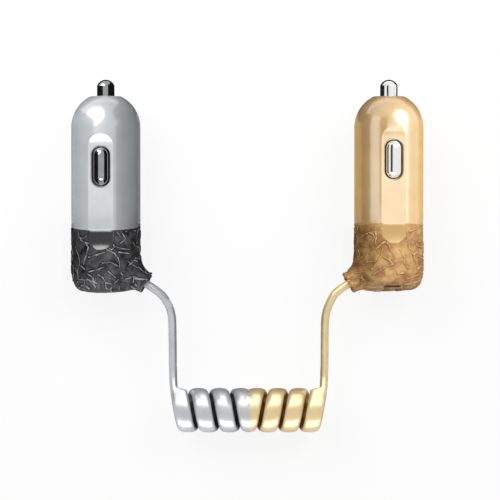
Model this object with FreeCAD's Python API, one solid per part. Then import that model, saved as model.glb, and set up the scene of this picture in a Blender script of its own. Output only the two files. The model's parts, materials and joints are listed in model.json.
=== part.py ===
import FreeCAD, Part
import math
import os

# Two car charger plugs, a silver one and a gold one, joined by one curly cord and lying flat.
# A plug is drawn in its own frame: z runs from the base to the nose, the cord leaves towards +x,
# the front is -y and the back is +y. All sizes are in millimetres.

V = FreeCAD.Vector

# outer body, made to slide into a 21 mm lighter socket
body_radius = 10.3
shell_wall = 1.6
nose_height = 58.2
nose_flat_radius = 4.6
nose_wall = 1.6
seam_height = 19.3
slant_deg = 5.8
seam_chamfer = 0.3

# base cover
base_corner_width = 3.0
base_corner_height = 6.0
base_crown = 0.6
floor_thickness = 1.6
shoulder_height = 2.5
spigot_top = 22.3
spigot_bore_radius = 7.4
fit_gap = 0.05

# long flat with scooped ends, one on the front and one on the back
channel_depth = 0.69
channel_bottom = 13.5
channel_below_nose = 10.2

# side contacts and their windows
side_contact_radius = 2.4
side_contact_length = 11.5
side_contact_proud = 0.6
side_contact_below_nose = 19.9
side_travel = 1.2
window_gap = 0.35
window_chamfer = 0.3
flange_lap = 0.4
side_flange_thickness = 0.7
run_gap = 0.1

# centre contact in the nose
pin_radius = 2.6
pin_proud = 5.0
pin_cap_height = 1.75
pin_edge_round = 0.8
pin_hole_gap = 0.2
pin_flange_radius = 3.7
pin_flange_thickness = 1.0
pin_post_radius = 1.7
centre_travel = 2.5

# coil spring behind the centre contact, on a terminal plate
spring_wire = 0.5
spring_mean_radius = 2.3
spring_turns = 5
terminal_radius = 2.9
terminal_thickness = 0.4
terminal_tab_width = 1.8
terminal_tab_length = 3.4

# leaf springs behind the side contacts
leaf_thickness = 0.25
leaf_width = 3.6
leaf_length = 11.0

# inner frame
bulkhead_below_nose = 11.2
bulkhead_thickness = 1.9
frame_gap = 0.2
leg_inner_right = 5.6
leg_inner_left = 5.2
cage_outer = 4.7
cage_wall = 0.8
cage_bottom = 26.0
pocket_rim_height = 1.0
pocket_rim_wall = 1.1
board_rib_height = 1.2

# USB-A socket in the base
port_width = 12.5
port_height = 5.12
port_x = -0.4
port_mouth_gap = 0.05
usb_wall = 0.3
usb_mouth_height = 1.2
usb_depth = 13.0
usb_finger_length = 5.0
usb_finger_width = 1.0
usb_finger_slit = 0.35
usb_finger_spread = 3.4
usb_finger_above_mouth = 2.0
tongue_width = 11.1
tongue_thickness = 1.84
tongue_length = 8.6
tongue_offset = 0.5
tongue_block_length = 2.4
terminal_strip_width = 1.0
terminal_strip_thickness = 0.3
terminal_strip_length = 7.4
terminal_strip_places = (-3.5, -1.0, 1.0, 3.5)

# circuit board and what is soldered to it
board_thickness = 1.1
board_half_width = 5.7
board_bottom = 4.5
chip_length = 4.9
chip_width = 3.9
chip_height = 1.5
chip_stand = 0.15
chip_bevel = 0.25
chip_leads_each_side = 4
chip_lead_pitch = 1.27
chip_lead_width = 0.42
chip_lead_reach = 1.05
chip_lead_thickness = 0.25
chip_lead_knee = 0.35
chip_lead_root = 0.2
inductor_radius = 3.2
inductor_core_radius = 2.7
inductor_flange = 1.0
inductor_height = 4.8
capacitor_radius = 3.15
capacitor_base = 6.6
capacitor_base_thickness = 1.0
capacitor_height = 5.8
capacitor_round = 0.5
capacitor_corner = 1.1
fuse_length = 6.1
fuse_side = 2.5
fuse_cap_length = 1.3
fuse_cap_wall = 0.15
solder_gap = 0.35

# spout for the cord and the grommet in it
spout_x = 12.25
spout_z = 2.5
spout_drop_deg = 30.0
spout_end_radius = 3.15
spout_lip_round = 0.4
spout_neck_radius = 3.75
spout_neck_at = 2.9
spout_root_radius = 6.2
spout_root_at = 5.9
spout_root_depth = 1.5
grommet_radius = 2.3
grommet_flange_radius = 3.0
grommet_flange_thickness = 1.2
grommet_seat = 5.6
grommet_recess = 0.3

# cord and its lie, in the frame of the whole thing
cord_radius = 1.2
cord_tail = 1.5
plug_spacing = 84.4
plug_roll_deg = 6.0
coil_radius = 6.65
coil_middle_x = 0.4
coil_y = -66.6
coil_half_length = 23.7
first_run = 3.7
# distance from the middle of the coil, then y, then z
lead_points = (
    (24.30, -34.20, 11.80),
    (22.80, -38.30, 10.90),
    (22.75, -44.20, 9.10),
    (22.75, -50.20, 7.60),
    (22.75, -55.60, 7.00),
    (21.90, -59.90, 8.30),
    (20.60, -63.10, 10.90),
)

channel_top = nose_height - channel_below_nose
side_contact_height = nose_height - side_contact_below_nose
bulkhead_bottom = nose_height - bulkhead_below_nose
slant = math.tan(math.radians(slant_deg))
facet = body_radius - channel_depth
inner_radius = body_radius - shell_wall
inner_flat = facet - shell_wall
dome_z = nose_height - math.sqrt(body_radius ** 2 - nose_flat_radius ** 2)
crest = body_radius + side_contact_proud
feature_shift = body_radius * slant
bulkhead_top = bulkhead_bottom + bulkhead_thickness
terminal_top = bulkhead_top + terminal_thickness
board_face = port_x - port_height / 2 - usb_wall
flange_outer = inner_flat - run_gap
flange_inner = flange_outer - side_flange_thickness
pin_flange_top = nose_height - nose_wall - run_gap
pin_flange_bottom = pin_flange_top - pin_flange_thickness


def line(a, b):
    return Part.LineSegment(a, b).toShape()


def arc(a, through, b):
    return Part.Arc(a, through, b).toShape()


def face_of(edges):
    return Part.Face(Part.Wire(Part.__sortEdges__(edges)))


def polygon(points):
    return Part.Face(Part.makePolygon(list(points) + [points[0]]))


def turned(edges):
    return face_of(edges).revolve(V(0, 0, 0), V(0, 0, 1), 360)


def box(low, high):
    size = V(*high) - V(*low)
    return Part.makeBox(size.x, size.y, size.z, V(*low))


def rod(radius, low, high):
    return Part.makeCylinder(radius, high - low, V(0, 0, low))


def below_slant(height):
    # everything under the slanted plane that crosses the axis at this height
    reach = 4 * body_radius
    block = box((-reach, -reach, height - 2 * reach), (reach, reach, height))
    block.rotate(V(0, 0, height), V(1, 0, 0), slant_deg)
    return block


def leaned(shape):
    # shears level planes to the slant and leaves upright cylinders as they are
    shear = FreeCAD.Matrix()
    shear.A32 = slant
    return shape.transformGeometry(shear)


def obround(width, length, y_out, y_in, z):
    # prism with half-round ends, long along z, from y_out to y_in
    radius = width / 2
    half = length / 2 - radius
    a, b = V(-radius, y_out, z - half), V(-radius, y_out, z + half)
    c, d = V(radius, y_out, z + half), V(radius, y_out, z - half)
    top, bottom = V(0, y_out, z + half + radius), V(0, y_out, z - half - radius)
    face = face_of([line(a, b), arc(b, top, c), line(c, d), arc(d, bottom, a)])
    return face.extrude(V(0, y_in - y_out, 0))


def on_side(shape, side):
    # front features are drawn on -y; the back ones are turned round and follow the slant
    moved = shape.copy()
    if side > 0:
        moved.rotate(V(0, 0, 0), V(0, 0, 1), 180)
    moved.translate(V(0, 0, side * feature_shift))
    return moved


def channel():
    half_width = math.sqrt(body_radius ** 2 - facet ** 2)
    end_radius = (half_width ** 2 + channel_depth ** 2) / (2 * channel_depth)
    low, high = channel_bottom + half_width, channel_top - half_width
    rise = 2 * channel_depth
    run = math.sqrt(end_radius ** 2 - (end_radius - rise) ** 2)
    mid_run = run / 2
    mid_rise = end_radius - math.sqrt(end_radius ** 2 - mid_run ** 2)
    a, b = V(0, -facet, low), V(0, -facet, high)
    c, d = V(0, -facet - rise, high + run), V(0, -facet - rise, low - run)
    bend_high = V(0, -facet - mid_rise, high + mid_run)
    bend_low = V(0, -facet - mid_rise, low - mid_run)
    face = face_of([line(a, b), arc(b, bend_high, c), line(c, d), arc(d, bend_low, a)])
    cutter = face.extrude(V(2 * body_radius, 0, 0))
    cutter.translate(V(-body_radius, 0, 0))
    return cutter


def edges_where(shape, test):
    return [e for e in shape.Edges if test(e)]


def nose_shell():
    wall_top = nose_height - nose_wall
    inner_top_radius = math.sqrt(inner_radius ** 2 - (wall_top - dome_z) ** 2)

    def bullet(radius, flat_radius, low, high):
        lift = math.asin(flat_radius / radius) / 2 + math.pi / 4
        bend = V(radius * math.sin(lift), 0, dome_z + radius * math.cos(lift))
        return turned([
            line(V(0, 0, low), V(radius, 0, low)),
            line(V(radius, 0, low), V(radius, 0, dome_z)),
            arc(V(radius, 0, dome_z), bend, V(flat_radius, 0, high)),
            line(V(flat_radius, 0, high), V(0, 0, high)),
            line(V(0, 0, high), V(0, 0, low)),
        ])

    low = seam_height - 2 * feature_shift
    outer = bullet(body_radius, nose_flat_radius, low, nose_height)
    hollow = bullet(inner_radius, inner_top_radius, low - 1, wall_top)
    pad = box((-body_radius, -body_radius, low - 2), (body_radius, -inner_flat, channel_top + feature_shift))
    back_pad = pad.copy()
    back_pad.rotate(V(0, 0, 0), V(0, 0, 1), 180)
    shell = outer.cut(hollow.cut(pad.fuse(back_pad)))
    shell = shell.cut(below_slant(seam_height))
    shell = shell.makeChamfer(seam_chamfer, seam_edges(shell))
    for side in (-1, 1):
        shell = shell.cut(on_side(channel(), side))
        window = obround(
            2 * (side_contact_radius + window_gap),
            side_contact_length + 2 * window_gap,
            -2 * body_radius,
            -inner_flat / 2,
            side_contact_height,
        )
        shell = shell.cut(on_side(window, side))
    shell = shell.makeChamfer(window_chamfer, window_edges(shell))
    return shell.cut(rod(pin_radius + pin_hole_gap, wall_top - 1, nose_height + 1))


def seam_edges(shell):
    # the outer rim of the slanted end
    def on_rim(e):
        spots = [e.valueAt(e.FirstParameter + k * (e.LastParameter - e.FirstParameter) / 4) for k in range(5)]
        level = all(abs(p.z - seam_height - p.y * slant) < 1e-3 for p in spots)
        return level and all(abs(math.hypot(p.x, p.y) - body_radius) < 1e-3 for p in spots)

    return edges_where(shell, on_rim)


def window_edges(shell):
    # the outline of each window where it meets the flat of its channel
    reach = side_contact_radius + window_gap + 0.01

    def on_flat(e):
        spots = [e.valueAt(e.FirstParameter + k * (e.LastParameter - e.FirstParameter) / 4) for k in range(5)]
        return all(abs(abs(p.y) - facet) < 1e-3 and abs(p.x) < reach for p in spots)

    return edges_where(shell, on_flat)


def cup(radius, corner_width, corner_height, low, crown, high):
    # a round cup bottom with an elliptical corner, before it is leaned
    flat = radius - corner_width
    centre = V(flat, 0, low + crown + corner_height)
    rim = V(radius, 0, centre.z)
    foot = V(flat, 0, low + crown)
    if corner_height > corner_width:
        ellipse = Part.Ellipse(V(centre.x, 0, centre.z - corner_height), rim, centre)
    else:
        ellipse = Part.Ellipse(rim, V(centre.x, 0, centre.z - corner_height), centre)
    first, last = sorted((ellipse.parameter(rim), ellipse.parameter(foot)))
    if last - first > math.pi:
        first, last = last, first + 2 * math.pi
    corner = Part.ArcOfEllipse(ellipse, first, last).toShape()
    mid = V(flat / 2, 0, low + crown / 4)
    return turned([
        arc(V(0, 0, low), mid, foot),
        corner,
        line(rim, V(radius, 0, high)),
        line(V(radius, 0, high), V(0, 0, high)),
        line(V(0, 0, high), V(0, 0, low)),
    ])


def spout_solid(shape):
    # puts a solid drawn along z on the axis of the spout, z = 0 at its open end
    axis = FreeCAD.Rotation(V(0, 1, 0), 90 + spout_drop_deg)
    placed = shape.copy()
    placed.Placement = FreeCAD.Placement(V(spout_x, 0, spout_z), axis)
    return placed


def spout():
    root = V(spout_root_radius, 0, -spout_root_at)
    deep = spout_root_at + spout_root_depth
    lip = V(spout_end_radius, 0, -spout_lip_round)
    horn = turned([
        line(V(0, 0, 0), V(spout_end_radius - spout_lip_round, 0, 0)),
        line(V(spout_end_radius - spout_lip_round, 0, 0), lip),
        arc(lip, V(spout_neck_radius, 0, -spout_neck_at), root),
        line(root, V(spout_root_radius, 0, -deep)),
        line(V(spout_root_radius, 0, -deep), V(0, 0, -deep)),
        line(V(0, 0, -deep), V(0, 0, 0)),
    ])
    return spout_solid(horn)


def base_cover():
    outer = leaned(cup(body_radius, base_corner_width, base_corner_height, 0, base_crown, seam_height))
    inner_corner = base_corner_width - shell_wall / 2
    hollow = cup(
        inner_radius,
        inner_corner,
        base_corner_height - shell_wall,
        floor_thickness,
        base_crown,
        seam_height - shoulder_height,
    )
    throat = rod(spigot_bore_radius, seam_height - shoulder_height - 1, seam_height + 1)
    hollow = leaned(hollow.fuse(throat))
    cover = outer.fuse(spout()).cut(hollow)
    spigot = rod(inner_radius - fit_gap, seam_height - shoulder_height / 2, spigot_top)
    spigot = spigot.common(box(
        (-body_radius, -inner_flat + fit_gap, 0),
        (body_radius, inner_flat - fit_gap, spigot_top + 1),
    ))
    cover = cover.fuse(spigot)
    cover = cover.cut(rod(spigot_bore_radius, seam_height - shoulder_height, spigot_top + 1))
    cover = cover.cut(usb_block(port_mouth_gap, -2 * body_radius, usb_mouth_height + 1))
    cover = cover.cut(usb_block(usb_wall + fit_gap, usb_mouth_height, usb_mouth_height + usb_depth))
    bore = rod(grommet_radius + fit_gap, -2 * grommet_seat, 1)
    seat = rod(grommet_flange_radius + fit_gap, -2 * grommet_seat, -grommet_seat)
    cover = cover.cut(spout_solid(bore.fuse(seat)))
    for side in (-1, 1):
        cover = cover.cut(on_side(channel(), side))
    return cover.removeSplitter()


def usb_block(margin, low, high):
    half_x = port_height / 2 + margin
    half_y = port_width / 2 + margin
    return box((port_x - half_x, -half_y, low), (port_x + half_x, half_y, high))


def usb_shell():
    low, high = usb_mouth_height, usb_mouth_height + usb_depth
    can = usb_block(usb_wall, low, high)
    corners = edges_where(can, lambda e: abs(e.tangentAt(e.FirstParameter).z) > 0.99)
    can = can.makeFillet(2 * usb_wall, corners)
    can = can.cut(usb_block(0, low - 1, high + 1))
    finger_low = low + usb_finger_above_mouth
    for y in (-usb_finger_spread, usb_finger_spread):
        slot = box(
            (-body_radius, y - usb_finger_width / 2 - usb_finger_slit, finger_low),
            (body_radius, y + usb_finger_width / 2 + usb_finger_slit, finger_low + usb_finger_length),
        )
        finger = box(
            (-body_radius, y - usb_finger_width / 2, finger_low + usb_finger_slit),
            (body_radius, y + usb_finger_width / 2, finger_low + usb_finger_length),
        )
        can = can.cut(slot.cut(finger))
    return can


def usb_tongue():
    high = usb_mouth_height + usb_depth
    low = high - tongue_block_length
    block = usb_block(-fit_gap, low, high)
    x = port_x + tongue_offset
    tongue = box(
        (x - tongue_thickness / 2, -tongue_width / 2, low - tongue_length),
        (x + tongue_thickness / 2, tongue_width / 2, low),
    )
    return block.fuse(tongue).removeSplitter()


def usb_contacts():
    high = usb_mouth_height + usb_depth - tongue_block_length
    x = port_x + tongue_offset - tongue_thickness / 2
    strips = []
    for y in terminal_strip_places:
        strips.append(box(
            (x - terminal_strip_thickness, y - terminal_strip_width / 2, high - terminal_strip_length),
            (x, y + terminal_strip_width / 2, high),
        ))
    return Part.makeCompound(strips)


def side_contact():
    radius = side_contact_radius
    half = side_contact_length / 2 - radius
    y = -(crest - radius)
    z = side_contact_height
    capsule = Part.makeCylinder(radius, 2 * half, V(0, y, z - half))
    for end in (-half, half):
        capsule = capsule.fuse(Part.makeSphere(radius, V(0, y, z + end)))
    neck = obround(2 * radius, side_contact_length, y, -flange_inner, z)
    top_half = capsule.common(box((-radius, -crest - 1, 0), (radius, y, nose_height)))
    lap = 2 * (window_gap + flange_lap)
    width = 2 * radius + lap
    length = side_contact_length + lap
    flange = box(
        (-width / 2, -flange_outer, z - length / 2),
        (width / 2, -flange_inner, z + length / 2),
    )
    return top_half.fuse(neck).fuse(flange).removeSplitter()


def leaf_spring():
    # a bowed strip whose feet stand on the cage and whose crown presses on the contact
    foot, crown = cage_outer, flange_inner - run_gap
    rise = crown - foot - leaf_thickness
    half = leaf_length / 2
    radius = (half ** 2 + rise ** 2) / (2 * rise)
    spread = math.asin(half / radius)
    middle = V(0, -(crown - leaf_thickness - radius), side_contact_height)

    def spot(r, angle):
        return middle + V(0, -r * math.cos(angle), r * math.sin(angle))

    outer = radius + leaf_thickness
    face = face_of([
        arc(spot(radius, -spread), spot(radius, 0), spot(radius, spread)),
        line(spot(radius, spread), spot(outer, spread)),
        arc(spot(outer, spread), spot(outer, 0), spot(outer, -spread)),
        line(spot(outer, -spread), spot(radius, -spread)),
    ])
    strip = face.extrude(V(leaf_width, 0, 0))
    strip.translate(V(-leaf_width / 2, 0, 0))
    return strip


def centre_contact():
    top = nose_height + pin_proud
    cap_radius = (pin_radius ** 2 + pin_cap_height ** 2) / (2 * pin_cap_height)
    half_angle = math.asin(pin_radius / cap_radius) / 2
    bend = V(cap_radius * math.sin(half_angle), 0, top - cap_radius + cap_radius * math.cos(half_angle))
    shoulder = V(pin_radius, 0, top - pin_cap_height)
    post_low = terminal_top + centre_travel + 2 * run_gap
    pin = turned([
        arc(V(0, 0, top), bend, shoulder),
        line(shoulder, V(pin_radius, 0, pin_flange_top)),
        line(V(pin_radius, 0, pin_flange_top), V(pin_flange_radius, 0, pin_flange_top)),
        line(V(pin_flange_radius, 0, pin_flange_top), V(pin_flange_radius, 0, pin_flange_bottom)),
        line(V(pin_flange_radius, 0, pin_flange_bottom), V(pin_post_radius, 0, pin_flange_bottom)),
        line(V(pin_post_radius, 0, pin_flange_bottom), V(pin_post_radius, 0, post_low)),
        line(V(pin_post_radius, 0, post_low), V(0, 0, post_low)),
        line(V(0, 0, post_low), V(0, 0, top)),
    ])

    def at_shoulder(e):
        p = e.valueAt(e.FirstParameter)
        return abs(p.z - shoulder.z) < 1e-3 and e.Length > pin_radius

    return pin.makeFillet(pin_edge_round, edges_where(pin, at_shoulder))


def centre_spring():
    low = terminal_top + spring_wire / 2
    high = pin_flange_bottom - run_gap - spring_wire / 2
    pitch = (high - low) / spring_turns
    helix = Part.makeHelix(pitch, high - low, spring_mean_radius)
    ring = Part.Wire(Part.makeCircle(spring_wire / 2, V(spring_mean_radius, 0, 0), V(0, 1, 0)))
    coil = Part.Wire(helix).makePipeShell([ring], True, True)
    coil.translate(V(0, 0, low))
    return coil


def centre_terminal():
    disc = rod(terminal_radius, bulkhead_top, terminal_top)
    half = terminal_tab_width / 2
    face = board_face
    arm = box((face, -half, bulkhead_top), (0, half, terminal_top))
    tab = box((face, -half, bulkhead_bottom - terminal_tab_length), (face + terminal_thickness, half, terminal_top))
    return disc.fuse(arm).fuse(tab).removeSplitter()


def inner_frame():
    outer = inner_radius - frame_gap
    flat = inner_flat - frame_gap
    outline = box((-outer, -flat, spigot_top), (outer, flat, bulkhead_top))
    plug = rod(outer, spigot_top, bulkhead_top).common(outline)
    plate = plug.common(box((-outer, -outer, bulkhead_bottom), (outer, outer, bulkhead_top)))
    right = plug.common(box((leg_inner_right, -outer, spigot_top), (outer, outer, bulkhead_top)))
    left = plug.common(box((-outer, -outer, spigot_top), (-leg_inner_left, outer, bulkhead_top)))
    frame = plate.fuse(right).fuse(left)
    for side in (-1, 1):
        wall = box(
            (board_face + fit_gap, cage_outer - cage_wall, cage_bottom),
            (leg_inner_right + 1, cage_outer, bulkhead_top),
        )
        if side < 0:
            wall = wall.mirror(V(0, 0, 0), V(0, 1, 0))
        frame = frame.fuse(wall)
    board_back = board_face - board_thickness
    for z in (cage_bottom, bulkhead_bottom - board_rib_height):
        rib = box(
            (-leg_inner_left - 1, -board_half_width / 2, z),
            (board_back, board_half_width / 2, z + board_rib_height),
        )
        frame = frame.fuse(rib)
    rim = rod(terminal_radius + fit_gap + pocket_rim_wall, bulkhead_top - 1, bulkhead_top + pocket_rim_height)
    rim = rim.cut(rod(terminal_radius + fit_gap, bulkhead_top, terminal_top + pocket_rim_height + 1))
    frame = frame.fuse(rim)
    half = terminal_tab_width / 2 + fit_gap
    slot = box(
        (board_face, -half, bulkhead_bottom - 1),
        (board_face + terminal_thickness + fit_gap, half, bulkhead_top + pocket_rim_height + 1),
    )
    arm_slot = box((board_face, -half, bulkhead_top), (0, half, bulkhead_top + pocket_rim_height + 1))
    return frame.cut(slot).cut(arm_slot).removeSplitter()


def circuit_board():
    low, high = board_bottom, bulkhead_bottom
    back = board_face - board_thickness
    return box((back, -board_half_width, low), (board_face, board_half_width, high))


def board_places():
    # heights of the chip, inductor, capacitor and fuse, spread evenly from the socket to the terminal tab
    low = usb_mouth_height + usb_depth
    high = bulkhead_bottom - terminal_tab_length - solder_gap
    lengths = (chip_length, 2 * inductor_radius, capacitor_base, fuse_side)
    gap = (high - low - sum(lengths)) / len(lengths)
    places = []
    for length in lengths:
        places.append(low + gap + length / 2)
        low += gap + length
    return places


def on_board(shape, z):
    # turns a part drawn standing on the xy plane so that it stands on the face of the board
    placed = shape.copy()
    placed.Placement = FreeCAD.Placement(V(board_face, 0, z), FreeCAD.Rotation(V(0, 1, 0), 90))
    return placed


def control_chip():
    half_l, half_w = chip_length / 2, chip_width / 2
    body = box((-half_l, -half_w, chip_stand), (half_l, half_w, chip_height))
    top = edges_where(body, lambda e: e.BoundBox.ZMin > chip_height - 0.01)
    body = body.makeChamfer(chip_bevel, top)
    middle = (chip_leads_each_side - 1) / 2
    for k in range(chip_leads_each_side):
        x = (k - middle) * chip_lead_pitch
        for side in (-1, 1):
            near, far = half_w - chip_lead_root, half_w + chip_lead_reach
            knee = half_w + chip_lead_knee
            bar = chip_lead_thickness
            lift = chip_height / 2
            points = [
                V(x, near, lift), V(x, knee, lift), V(x, knee, 0), V(x, far, 0),
                V(x, far, bar), V(x, knee + bar, bar), V(x, knee + bar, lift + bar), V(x, near, lift + bar),
            ]
            lead = polygon(points).extrude(V(chip_lead_width, 0, 0))
            lead.translate(V(-chip_lead_width / 2, 0, 0))
            if side < 0:
                lead = lead.mirror(V(0, 0, 0), V(0, 1, 0))
            body = body.fuse(lead)
    return on_board(body.removeSplitter(), board_places()[0])


def inductor():
    r, core, h, f = inductor_radius, inductor_core_radius, inductor_height, inductor_flange
    drum = turned([
        line(V(0, 0, 0), V(r, 0, 0)),
        line(V(r, 0, 0), V(r, 0, f)),
        line(V(r, 0, f), V(core, 0, f)),
        line(V(core, 0, f), V(core, 0, h - f)),
        line(V(core, 0, h - f), V(r, 0, h - f)),
        line(V(r, 0, h - f), V(r, 0, h)),
        line(V(r, 0, h), V(0, 0, h)),
        line(V(0, 0, h), V(0, 0, 0)),
    ])
    return on_board(drum, board_places()[1])


def capacitor():
    half = capacitor_base / 2
    cut = capacitor_corner
    points = [
        V(-half, -half, 0), V(half - cut, -half, 0), V(half, -half + cut, 0),
        V(half, half - cut, 0), V(half - cut, half, 0), V(-half, half, 0),
    ]
    base = polygon(points).extrude(V(0, 0, capacitor_base_thickness))
    can = rod(capacitor_radius, capacitor_base_thickness, capacitor_height)
    rim = edges_where(can, lambda e: e.BoundBox.ZMin > capacitor_height - 0.01)
    can = can.makeFillet(capacitor_round, rim)
    return on_board(base.fuse(can), board_places()[2])


def fuse():
    half = fuse_length / 2
    wall = fuse_cap_wall
    body = box((-fuse_side / 2 + wall, -half + wall, wall), (fuse_side / 2 - wall, half - wall, fuse_side - wall))
    for y in (-half, half - fuse_cap_length):
        cap = box((-fuse_side / 2, y, 0), (fuse_side / 2, y + fuse_cap_length, fuse_side))
        body = body.fuse(cap)
    return on_board(body.removeSplitter(), board_places()[3])


def grommet():
    sleeve = rod(grommet_radius, -grommet_seat - fit_gap, -grommet_recess)
    flange_low = -grommet_seat - fit_gap - grommet_flange_thickness
    flange = rod(grommet_flange_radius, flange_low, -grommet_seat - fit_gap)
    hole = rod(cord_radius, flange_low - 1, 1)
    return spout_solid(sleeve.fuse(flange).cut(hole))


def plug_pieces():
    contact, leaf = side_contact(), leaf_spring()
    return {
        "nose_shell": nose_shell(),
        "base_cover": base_cover(),
        "centre_contact": centre_contact(),
        "centre_spring": centre_spring(),
        "centre_terminal": centre_terminal(),
        "front_contact": on_side(contact, -1),
        "back_contact": on_side(contact, 1),
        "front_spring": on_side(leaf, -1),
        "back_spring": on_side(leaf, 1),
        "inner_frame": inner_frame(),
        "circuit_board": circuit_board(),
        "control_chip": control_chip(),
        "inductor": inductor(),
        "capacitor": capacitor(),
        "fuse": fuse(),
        "usb_shell": usb_shell(),
        "usb_tongue": usb_tongue(),
        "usb_contacts": usb_contacts(),
        "cord_grommet": grommet(),
    }


def plug_placement(side):
    # side -1 is the silver plug with its front up, +1 the gold one turned over about its axis;
    # each rests on its lower side contact and on the foot of its cover's straight wall
    lean = -side * feature_shift
    reach = (crest - side_contact_radius) * math.cos(math.radians(plug_roll_deg)) + side_contact_radius
    contact_z = side_contact_height + lean - side_contact_length / 2 + side_contact_radius
    foot_z = base_crown + base_corner_height + lean
    pitch = math.atan((reach - body_radius) / (contact_z - foot_z))
    height = body_radius * math.cos(pitch) - foot_z * math.sin(pitch)
    turn = -plug_roll_deg if side < 0 else 180 + plug_roll_deg
    stand = FreeCAD.Rotation(V(1, 0, 0), math.degrees(pitch) - 90)
    spin = FreeCAD.Rotation(V(0, 0, 1), turn)
    return FreeCAD.Placement(V(side * plug_spacing / 2, 0, height), stand.multiply(spin))


def placed(shape, placement):
    moved = shape.copy()
    moved.Placement = placement.multiply(moved.Placement)
    return moved


def lead_route(side, placement):
    axis = V(math.cos(math.radians(spout_drop_deg)), 0, -math.sin(math.radians(spout_drop_deg)))
    mouth = V(spout_x, 0, spout_z)
    tail = grommet_seat + fit_gap + grommet_flange_thickness + cord_tail
    local = [mouth - axis * tail, mouth + axis * first_run]
    route = [placement.multVec(p) for p in local]
    route += [V(coil_middle_x + side * away, y, z) for away, y, z in lead_points]
    return route


def tube(route, radius):
    # straight runs joined by tangent arcs as wide as the shorter run beside each corner allows
    edges, start = [], route[0]
    for before, corner, after in zip(route, route[1:], route[2:]):
        back, ahead = (before - corner), (after - corner)
        reach = 0.45 * min(back.Length, ahead.Length)
        half_turn = (math.pi - back.getAngle(ahead)) / 2
        bend = reach / math.tan(half_turn)
        back.normalize()
        ahead.normalize()
        inward = back + ahead
        inward.normalize()
        middle = corner + inward * (bend / math.cos(half_turn) - bend)
        a, b = corner + back * reach, corner + ahead * reach
        edges += [line(start, a), arc(a, middle, b)]
        start = b
        print("bend radius", round(bend, 1))
    edges.append(line(start, route[-1]))
    path = Part.Wire(edges)
    ring = Part.Wire(Part.makeCircle(radius, route[0], route[1] - route[0]))
    solid = path.makePipeShell([ring], True, False)
    section = math.pi * radius ** 2
    print("tube length", round(path.Length, 2), "volume ratio", round(solid.Volume / (section * path.Length), 4))
    return solid


def coil_half(side):
    start = V(coil_middle_x, coil_y, coil_radius)
    return Part.makeCylinder(coil_radius, coil_half_length, start, V(side, 0, 0))


def main():
    os.makedirs("parts", exist_ok=True)
    pieces = plug_pieces()
    finishes = {"silver": -1, "gold": 1}
    placements = {name: plug_placement(side) for name, side in finishes.items()}
    own = [placed(p, placements[name]) for name in finishes for p in pieces.values()]
    extent = Part.makeCompound(own).optimalBoundingBox(False, False)
    centring = V(0, -(extent.YMin + extent.YMax) / 2, 0)
    for name, side in finishes.items():
        placement = placements[name]
        placement.Base = placement.Base + centring
        nodes = {n: placed(p, placement) for n, p in pieces.items()}
        route = lead_route(side, placement)
        coil = coil_half(side)
        nodes["cord_coil"] = coil
        nodes["cord_lead"] = tube(route, cord_radius).cut(coil)
        for node, shape in nodes.items():
            shape.exportStep(os.path.join("parts", name + "_" + node + ".step"))
            print(name, node, len(shape.Solids), shape.isValid(), round(shape.Volume, 2))


main()
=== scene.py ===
import json
import math
import random
from functools import reduce

import bmesh
import bpy
import numpy as np
import openvdb
from mathutils import Matrix, Vector

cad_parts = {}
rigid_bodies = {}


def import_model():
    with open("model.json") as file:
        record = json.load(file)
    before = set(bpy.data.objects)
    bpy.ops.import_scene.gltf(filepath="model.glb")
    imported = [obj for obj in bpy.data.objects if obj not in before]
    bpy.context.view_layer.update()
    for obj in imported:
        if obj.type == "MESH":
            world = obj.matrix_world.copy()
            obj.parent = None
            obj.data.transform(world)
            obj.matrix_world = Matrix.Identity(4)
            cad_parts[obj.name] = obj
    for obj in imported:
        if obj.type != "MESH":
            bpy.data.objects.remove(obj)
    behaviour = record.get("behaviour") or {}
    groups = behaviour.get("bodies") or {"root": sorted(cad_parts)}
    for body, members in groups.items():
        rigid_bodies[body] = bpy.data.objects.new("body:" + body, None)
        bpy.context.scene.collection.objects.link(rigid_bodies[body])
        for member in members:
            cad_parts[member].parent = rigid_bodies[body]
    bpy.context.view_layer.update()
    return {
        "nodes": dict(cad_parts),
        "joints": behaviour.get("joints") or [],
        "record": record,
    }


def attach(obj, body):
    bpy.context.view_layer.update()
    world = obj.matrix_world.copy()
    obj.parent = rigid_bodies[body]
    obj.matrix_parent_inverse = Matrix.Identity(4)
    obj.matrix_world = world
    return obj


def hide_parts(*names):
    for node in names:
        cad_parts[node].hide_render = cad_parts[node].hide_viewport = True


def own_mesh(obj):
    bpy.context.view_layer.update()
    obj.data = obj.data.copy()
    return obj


# Silver and gold charger plugs joined by one curly cord, lying on a pale floor and seen from above.
# The frame gives each plug its own axes, and pieces are drawn in those axes in millimetres:
# z from the base to the nose, the cord leaves towards +x, the front is -y and the back +y.

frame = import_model()
record = frame["record"]
nodes = frame["nodes"]
finishes = ("silver", "gold")
mm = 0.001
print("frame loaded:", len(nodes), "nodes")


# Shader tools

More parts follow.
